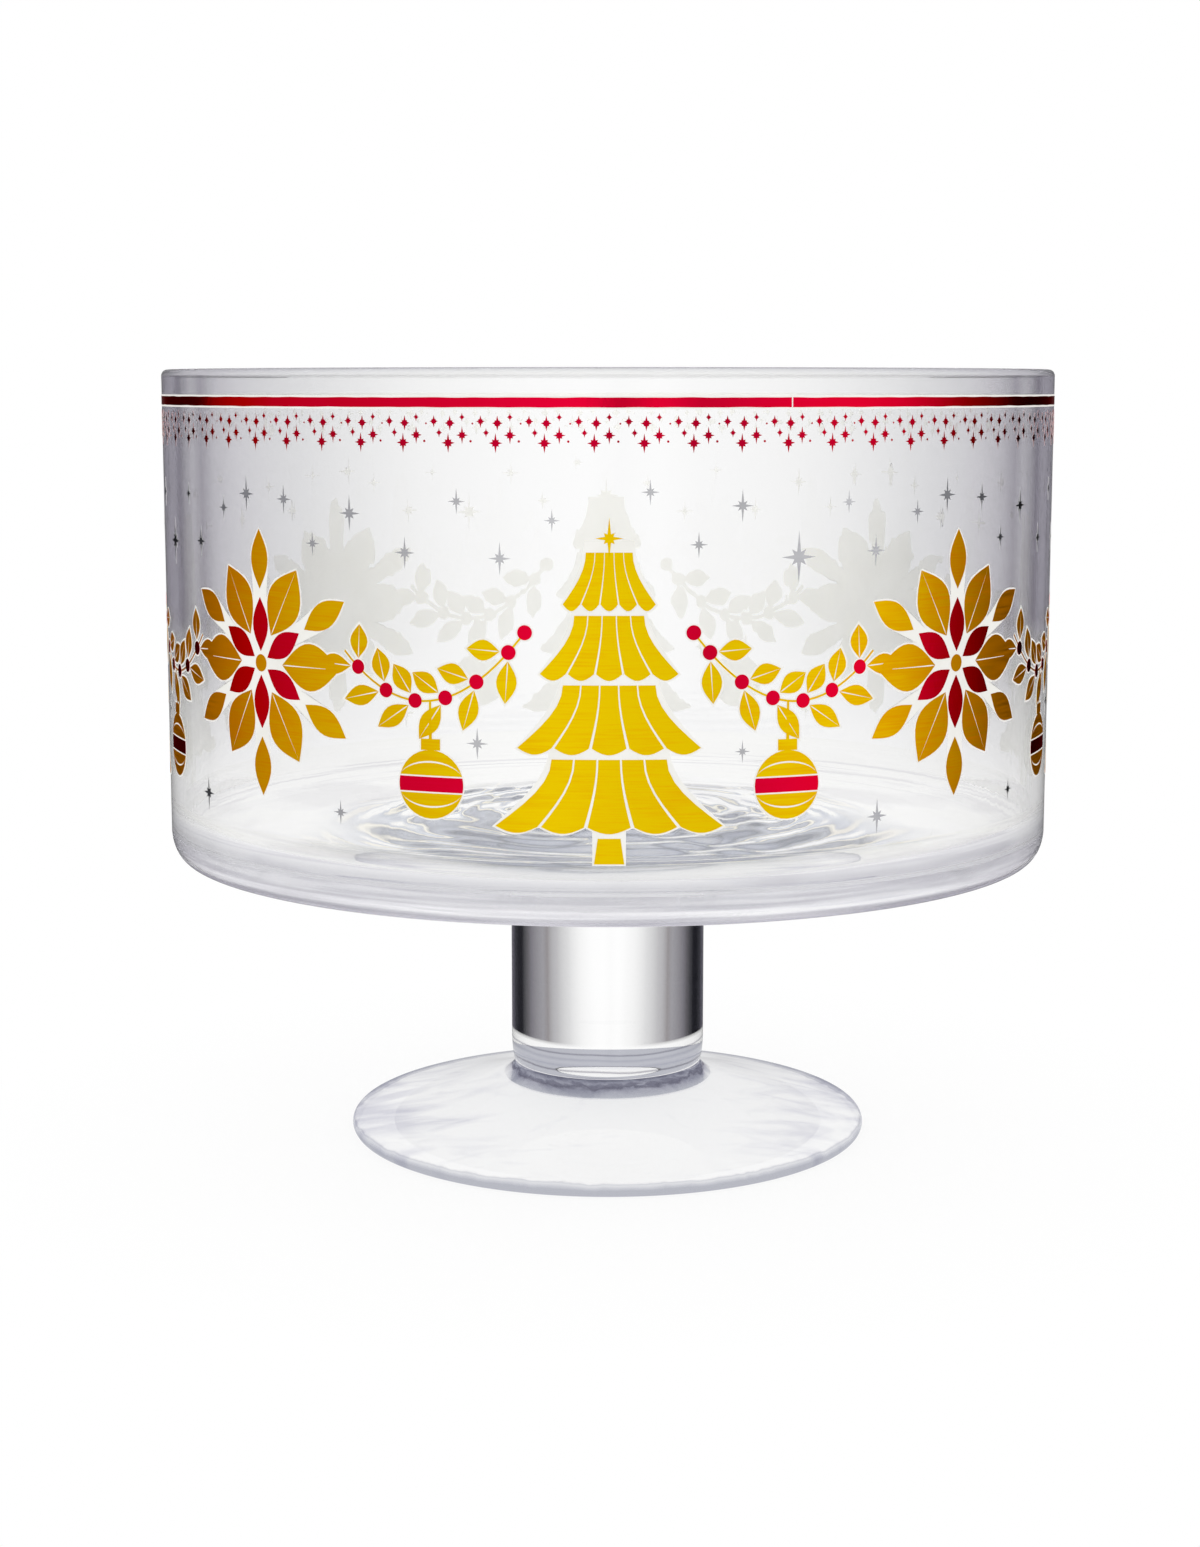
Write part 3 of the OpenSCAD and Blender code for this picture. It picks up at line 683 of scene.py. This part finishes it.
# Four fir trees of brushed gold foil stand round the wall. Each has four boughs of five lobes
# with fine white veins between them, a short trunk and a star on top.
gold_foil = foil("gold_foil", (0.98, 0.68, 0.001), (0.95, 0.35, 0.001), 0.42, 0.12)
room_over_firs = 11.2 * mm
fir_h = frieze_room - room_over_firs
fir_w = 50 * mm
bough_shares = [[0.11, 0.305, 1], [0.34, 0.52, 0.8], [0.555, 0.72, 0.6], [0.755, 0.9, 0.4]]
lobes = 5
lobe_gap = 0.04
bough_top = 0.5
scallop = 0.022 * fir_h
trunk_half, trunk_h, trunk_taper = 0.13 * fir_w / 2, 0.075 * fir_h, 0.75
top_star_h = 0.12 * fir_h
top_star = (top_star_h, 0.66, 0.36, 0.22)
ground_rise, trunk_ground_h = 0.035 * fir_h, 0.11 * fir_h


def bough(low, high, half, start, end, columns, rows, grow=0.0, rise=0.0):
    """Part of a bough, from share start to share end of its width. x is the half width times
    (2 t - 1), drawn in by a quarter sine towards the top, and the lower edge hangs by the
    absolute sine of each lobe."""
    t = np.linspace(start, end, columns)[:, None]
    v = np.linspace(0, 1, rows)[None]
    x = (half * (1 - (1 - bough_top) * np.sin(v * np.pi / 2)) + grow) * (2 * t - 1)
    hang = scallop * np.abs(np.sin(np.pi * lobes * t)) * (1 - v)
    z = low - grow - hang + (high - low + grow + rise) * v
    return np.stack([x, z + 0 * t], axis=-1)


fir_angles = sector * sectors
fir_grids = []
for low, high, share in bough_shares:
    for lobe in range(lobes):
        figure = bough(low * fir_h, high * fir_h, share * fir_w / 2, (lobe + lobe_gap) / lobes,
                       (lobe + 1 - lobe_gap) / lobes, 8, 7)
        fir_grids.append(stamp(figure, fir_angles, frieze_z))
    figure = bough(low * fir_h, high * fir_h, share * fir_w / 2, 0, 1, 41, 8,
                   white_margin, ground_rise)
    ground_grids.append(stamp(figure, fir_angles, frieze_z))


def upright(half_low, half_high, low, high, columns=5, rows=4):
    """A straight-sided strip that stands upright and tapers from one half width to another."""
    u, v = np.linspace(-1, 1, columns)[:, None], np.linspace(0, 1, rows)[None]
    return np.stack([u * (half_low + (half_high - half_low) * v), low + (high - low) * v + 0 * u],
                    axis=-1)


fir_grids.append(stamp(upright(trunk_half, trunk_half * trunk_taper, 0, trunk_h),
                       fir_angles, frieze_z))
ground_grids.append(stamp(upright(trunk_half + white_margin, trunk_half + white_margin,
                                  -white_margin, trunk_ground_h), fir_angles, frieze_z))
star_z = frieze_z + fir_h - top_star_h / 2
fir_fans = [stamp(star(*top_star), fir_angles, star_z)]
ground_fans.append(stamp(star(*top_star, white_margin), fir_angles, star_z))
trees = film("gold_foil_fir_trees", foil_back, foil_front, [gold_foil], fir_grids, fir_fans)
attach(trees, "root")
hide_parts("gold_trees")

# Between the trees are four star-petalled flowers of gold foil: six broad bracts with a white
# vein, six narrow sepals between their tips, and an eye. Six red foil bracts lie inside them.
petals = 6
flower_r = min(0.3311 * fir_h, 0.2837 * np.pi * bowl_r / motif_count)
flower_z = frieze_z + 0.54 * fir_h
bract_start, bract_l, bract_w = 0.3 * flower_r, 0.7 * flower_r, 0.43 * flower_r
sepal_start, sepal_l, sepal_w = 0.68 * flower_r, 0.54 * flower_r, 0.24 * flower_r
inner_start, inner_l, inner_w = 0.11 * flower_r, 0.49 * flower_r, 0.22 * flower_r
eye_r = 0.08 * flower_r
vein = 0.14 * mm
tip_half = 0.04 * mm


def leaf(start, length, width, columns=9, rows=3, grow=0.0):
    """A pointed leaf along x: its half width is a sine of the way along it."""
    u, v = np.linspace(0, 1, columns)[:, None], np.linspace(-1, 1, rows)[None]
    half = np.maximum((width / 2 + grow) * np.sin(np.pi * u), tip_half)
    return np.stack([start - 2 * grow + (length + 4 * grow) * u + 0 * v, half * v], axis=-1)


def leaf_halves(start, length, width, columns=9, rows=3):
    """The same leaf in two halves, with a white vein between them that thins to the tip."""
    u, v = np.linspace(0, 1, columns)[:, None], np.linspace(0, 1, rows)[None]
    half = np.maximum(width / 2 * np.sin(np.pi * u), tip_half)
    inner = np.minimum(vein * (1.15 - u), 0.6 * half)
    x = start + length * u + 0 * v
    return [np.stack([x, inner + (half - inner) * v], axis=-1),
            np.stack([x, -half + (half - inner) * v], axis=-1)]


def all_round(count, offset):
    """Angles round the wall and tilts of count figures round each flower's middle."""
    angle, tilt = np.meshgrid(sector * (sectors + 0.5), 360 / count * (np.arange(count) + offset))
    return angle.ravel(), tilt.ravel()


bract_angle, bract_tilt = all_round(petals, 0)
sepal_angle, sepal_tilt = all_round(petals, 0.5)
flower_grids = [stamp(figure, bract_angle, flower_z, bract_tilt)
                for figure in leaf_halves(bract_start, bract_l, bract_w, 13, 4)]
flower_grids.append(stamp(leaf(sepal_start, sepal_l, sepal_w, 11, 5),
                          sepal_angle, flower_z, sepal_tilt))
flower_fans = [stamp(disc(eye_r), sector * (sectors + 0.5), flower_z)]
flowers = film("gold_foil_flower_petals", foil_back, foil_front, [gold_foil],
               flower_grids, flower_fans)
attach(flowers, "root")
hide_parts("gold_flowers")
red_grids = [stamp(leaf(inner_start, inner_l, inner_w, 11, 5),
                   sepal_angle, flower_z, sepal_tilt)]
red_petals = film("red_foil_flower_petals", foil_back, foil_front, [red_foil], red_grids)
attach(red_petals, "root")
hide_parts("red_flowers")

# The flower's white ground is one rosette that reaches past every petal.
rosette_rays, rosette_rings = 288, 12
petal_turn = 360 / petals
turn = np.arange(rosette_rays) * 360 / rosette_rays
off = np.abs((turn + petal_turn / 2) % petal_turn - petal_turn / 2)


def petal_reach(off, start, length, width):
    """How far a petal reaches in a direction that is off degrees from its own axis."""
    u = np.linspace(0.02, 1, 60)
    x, y = start + length * u, width / 2 * np.sin(np.pi * u)
    inside = np.degrees(np.arctan2(y + 0.8 * white_margin, x))[None] >= off[:, None]
    return np.where(inside, np.hypot(x, y)[None], 0).max(axis=1)


reach = np.maximum.reduce([
    petal_reach(off, bract_start, bract_l, bract_w),
    petal_reach(petal_turn / 2 - off, sepal_start, sepal_l, sepal_w),
    np.full(rosette_rays, inner_start + inner_l)]) + white_margin
rays = np.stack([np.cos(np.radians(turn)), np.sin(np.radians(turn))], axis=1) * reach[:, None]
rosette = rays[None] * (np.arange(1, rosette_rings + 1) / rosette_rings)[:, None, None]
ground_fans.append(stamp(rosette, sector * (sectors + 0.5), flower_z))

# Garlands of gold foil leaves hang from each tree to each flower on a fine gold twig. The
# leaves stand in pairs, the upper ones shorter and steeper.
half_arc = np.pi * bowl_r / motif_count
bead_d = 3.2 * mm
leaf_l, leaf_w = 11 * mm, 4.5 * mm
lower_tilt, upper_tilt, upper_share = -38, 52, 0.84
pair_gap = 7 * mm
twig_half = 0.22 * mm
garland_a = np.array([0.72 * fir_w / 2, 0.67 * fir_h])
garland_b = np.array([half_arc - flower_r - 4 * white_margin, 0.6 * fir_h])
garland_sag = 0.17 * fir_h
leaf_pairs = int((garland_b[0] - garland_a[0]) / pair_gap)


def garland(t):
    """A parabola between its two ends: the straight line less 4 sag t (1 - t)."""
    t = np.asarray(t, float)[..., None]
    return (garland_a + (garland_b - garland_a) * t
            - np.array([0, 4 * garland_sag]) * t * (1 - t))


def both_hands(point, tilt):
    """A place on a garland and a tilt there, for all eight garlands: the left ones mirrored."""
    turn = np.degrees(point[0] / bowl_r)
    angles = np.concatenate([sector * sectors + turn, sector * (sectors + 1) - turn])
    tilts = np.repeat([tilt, 180 - tilt], motif_count)
    return angles, frieze_z + point[1], tilts


twig_t = np.linspace(-0.02, 1.0, 25)
twig = garland(twig_t)
slope = np.gradient(twig, axis=0)
normal = np.stack([-slope[:, 1], slope[:, 0]], axis=1)
normal /= np.linalg.norm(normal, axis=1, keepdims=True)


def twig_strip(half):
    """The twig as a strip to both sides of the garland's curve, and its mirror image."""
    strip = twig[:, None] + normal[:, None] * np.array([-half, 0, half])[None, :, None]
    mirrored = (strip * [-1, 1])[::-1]
    return [stamp(strip, sector * sectors, frieze_z),
            stamp(mirrored, sector * (sectors + 1), frieze_z)]


leaf_start = bead_d / 2 + white_margin
leaf_grids = twig_strip(twig_half)
ground_grids += twig_strip(twig_half + white_margin)
for t in (np.arange(leaf_pairs) + 0.5) / leaf_pairs:
    ahead = garland(t + 0.01) - garland(t - 0.01)
    lean = np.degrees(np.arctan2(ahead[1], ahead[0]))
    for tilt, share in ((lower_tilt, 1), (upper_tilt, upper_share)):
        place = both_hands(garland(t), lean + tilt)
        length = leaf_l * share - leaf_start
        leaf_grids += [stamp(figure, *place) for figure in leaf_halves(leaf_start, length, leaf_w)]
        ground_grids.append(stamp(leaf(leaf_start, length, leaf_w, grow=white_margin), *place))
garlands = film("gold_foil_leaf_garlands", foil_back, foil_front, [gold_foil], leaf_grids)
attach(garlands, "root")
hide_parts("gold_garlands")

# A round bead of red foil lies on the twig before each pair of leaves and at its start.
bead_fans = []
for t in np.maximum(0, np.arange(leaf_pairs + 1) - 0.5) / leaf_pairs:
    bead_fans.append(stamp(disc(bead_d / 2, 2, 24), *both_hands(garland(t), 0)))
    ground_fans.append(stamp(disc(bead_d / 2 + white_margin, 1, 24), *both_hands(garland(t), 0)))
beads = film("red_foil_beads", foil_back, raised_front, [red_foil], fans=bead_fans)
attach(beads, "root")
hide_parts("red_beads")

# A gold foil bauble hangs on a thread from the lowest point of each garland. A red foil band
# runs round its middle between two white lines, and a fine white line curves over each half.
bauble_r = 7.5 * mm
band_half = 0.13 * 2 * bauble_r
cap_w, cap_h = 0.3 * 2 * bauble_r, 0.16 * 2 * bauble_r
thread_l, thread_w = 0.55 * 2 * bauble_r, 0.05 * 2 * bauble_r
cap_overlap = 0.05 * mm
hung = both_hands(garland(0.5) - [0, thread_l + bauble_r + cap_h], 0)[:2]


def dome_part(low, high, side):
    """Part of the bauble's upper or lower half, between two shares of the way from the band
    to its outline, which is the circle's square root of (r squared less x squared)."""
    reach = np.sqrt(bauble_r**2 - band_half**2)
    x = reach * np.sin(np.pi / 2 * np.linspace(-1, 1, 17))[:, None]
    v = np.linspace(0, 1, 5)[None]
    outline = np.maximum(np.sqrt(bauble_r**2 - x**2) - band_half, tip_half)
    z = band_half + outline * low + (outline * (high - low)) * v
    figure = np.stack([x + 0 * v, side * z], axis=-1)
    return figure if side > 0 else figure[::-1]


bauble_grids = []
for side in (1, -1):
    bauble_grids += [stamp(dome_part(0, 0.5, side), *hung), stamp(dome_part(0.57, 1, side), *hung)]
bauble_grids.append(stamp(upright(cap_w / 2, cap_w / 2, bauble_r - cap_overlap,
                                  bauble_r + cap_h), *hung))
bauble_grids.append(stamp(upright(thread_w / 2, thread_w / 3, bauble_r + cap_h,
                                  bauble_r + cap_h + thread_l, 3, 6), *hung))
baubles = film("gold_foil_baubles", foil_back, foil_front, [gold_foil], bauble_grids)
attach(baubles, "root")
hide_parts("gold_baubles")
v = np.linspace(-1, 1, 5)[None]
band_z = (band_half - white_margin) * v
band = np.stack([np.linspace(-1, 1, 11)[:, None] * np.sqrt(bauble_r**2 - band_z**2),
                 band_z + np.zeros((11, 1))], axis=-1)
bands = film("red_foil_bauble_bands", foil_back, foil_front, [red_foil], [stamp(band, *hung)])
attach(bands, "root")
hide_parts("red_bauble_bands")
ground_fans.append(stamp(disc(bauble_r + white_margin, 4, 40), *hung))
ground_grids.append(stamp(upright(cap_w / 2 + white_margin, cap_w / 2 + white_margin, bauble_r,
                                  bauble_r + cap_h + white_margin), *hung))
ground_grids.append(stamp(upright(thread_w / 2 + white_margin, thread_w / 3 + white_margin,
                                  bauble_r + cap_h, bauble_r + cap_h + thread_l, 3, 6), *hung))

# Matt white ceramic ink lies on the glass under every foil and shows as a fine edge round it.
# Through the glass it is all that the far side of the bowl shows of the picture.
white_ink, shader = new_material("white_ceramic_ink")
tree = white_ink.node_tree
bump = new_node(tree, "ShaderNodeBump", {
    "Strength": 0.4, "Distance": 0.05 * mm, "Height": stretched_noise(tree, (1, 1, 1), 1500, 2)})
fill(tree, shader, {
    "Base Color": colour_ramp(tree, stretched_noise(tree, (1, 1, 1), 120, 4), [
        (0.3, (0.86, 0.85, 0.8)), (0.7, (0.93, 0.92, 0.88))]),
    "Normal": bump.outputs["Normal"], "Roughness": 0.6})
# Its faces towards the glass glow a little: painted light, so that the print on the far side shows
# pale through the bowl.
glowing_ink = white_ink.copy()
glowing_ink.name = "white_ceramic_ink_painted_glow"
tree = glowing_ink.node_tree
fill(tree, tree.nodes["Principled BSDF"],
     {"Emission Color": (0.95, 0.95, 0.9, 1), "Emission Strength": 0.5})
ink = film("white_ceramic_underprint", ink_back, ink_front, [white_ink, glowing_ink],
           ground_grids, ground_fans)
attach(ink, "root")
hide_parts("white_print")

# The studio is a small white table in a white room. The table looks plain white, but for the
# bowl's faint shadow close to the foot, and what is mirrored shows only that part of it.
table_size = 360 * mm
bpy.ops.mesh.primitive_plane_add(size=table_size)
table_top = bpy.context.object
table_top.name = "table"


def mirrored(tree):
    """1 for what a foil or glass mirrors, and 0 for all else, such as what glass lets through."""
    rays = new_node(tree, "ShaderNodeLightPath").outputs
    return joined_by(tree, "SUBTRACT", rays["Is Glossy Ray"], rays["Is Transmission Ray"])


def shader_mix(tree, factor, a, b):
    """Shader b over shader a by a factor."""
    return new_node(tree, "ShaderNodeMixShader", {0: factor, 1: a, 2: b}).outputs[0]


shadow_start, shadow_end = 70 * mm, 170 * mm
mirrored_start, mirrored_end = 75 * mm, 100 * mm
table, shader = new_material("table")
tree = table.node_tree
fill(tree, shader, {"Base Color": (0.97, 0.97, 0.97, 1), "Roughness": 0.7})
rays = new_node(tree, "ShaderNodeLightPath").outputs
seen = joined_by(tree, "MAXIMUM", rays["Is Camera Ray"],
                 joined_by(tree, "MAXIMUM", rays["Is Glossy Ray"], rays["Is Transmission Ray"]))
plain = times(tree, seen, share_between(tree, distance(tree), shadow_start, shadow_end, 0.92))
glow = new_node(tree, "ShaderNodeEmission")
white = shader_mix(tree, plain, shader.outputs[0], glow.outputs[0])
gone = new_node(tree, "ShaderNodeBsdfTransparent")
left_out = times(tree, mirrored(tree),
                 share_between(tree, distance(tree), mirrored_start, mirrored_end))
fill(tree, tree.nodes["Material Output"],
     {"Surface": shader_mix(tree, left_out, white, gone.outputs[0])})
table_top.data.materials.append(table)

# What is mirrored of the room is brighter and darker by turns round it, as stands and screens
# would make it, and dark behind the bowl at both sides of its white backdrop. Each pair is a
# direction, in degrees to the right from behind the camera, and its tone.
world = bpy.data.worlds.new("room")
bpy.context.scene.world = world
world.use_nodes = True
tree = world.node_tree
turn = joined_by(tree, "ARCTAN2", coordinate(tree, "Generated", "X"),
                 times(tree, coordinate(tree, "Generated", "Y"), -1))
room_tones = [(-180, 0.7), (-168, 0.12), (-150, 0.03), (-122, 0.03), (-117, 0.29), (-106, 0.43),
              (-84, 0.58), (-64, 0.64), (-39, 0.75), (-16, 0.9), (-5, 1), (3, 0.5), (12, 1),
              (22, 0.6), (37, 0.77), (53, 0.92), (66, 0.92), (77, 0.78), (97, 0.31), (108, 0.165),
              (118, 0.06), (122, 0.004), (134, 0.003), (143, 0.01), (152, 0.03), (168, 0.12),
              (180, 0.7)]
room = colour_ramp(tree, plus(tree, joined_by(tree, "DIVIDE", turn, tau), 0.5),
                   [(0.5 + degrees / 360, (tone,) * 3) for degrees, tone in room_tones])
fill(tree, tree.nodes["Background"],
     {"Color": colour_mix(tree, mirrored(tree), (1, 1, 1, 1), room), "Strength": 1})

# Light turns many times inside thick glass before it leaves it.
turns_in_glass = 96
light_paths = bpy.context.scene.cycles
light_paths.max_bounces = turns_in_glass
light_paths.glossy_bounces = turns_in_glass
light_paths.transmission_bounces = turns_in_glass
light_paths.transparent_max_bounces = 24

# The camera stands where the photograph was taken from.
camera_data = bpy.data.cameras.new("camera")
camera = bpy.data.objects.new("camera", camera_data)
bpy.context.collection.objects.link(camera)
bpy.context.scene.camera = camera
image_w, image_h = 1200, 1547
focal_px = 2629.81
axis_px = 607.7
sensor_h = 36
away = 663.889 * mm
height = 189.587 * mm
down = 0.1465
camera_data.sensor_fit = "VERTICAL"
camera_data.sensor_height = sensor_h
camera_data.lens = focal_px / image_h * sensor_h
camera.location = (-(axis_px - image_w / 2) / focal_px * away, -away, height)
camera.rotation_euler = (np.pi / 2 - down, 0, 0)

bpy.context.scene.view_settings.view_transform = "Standard"
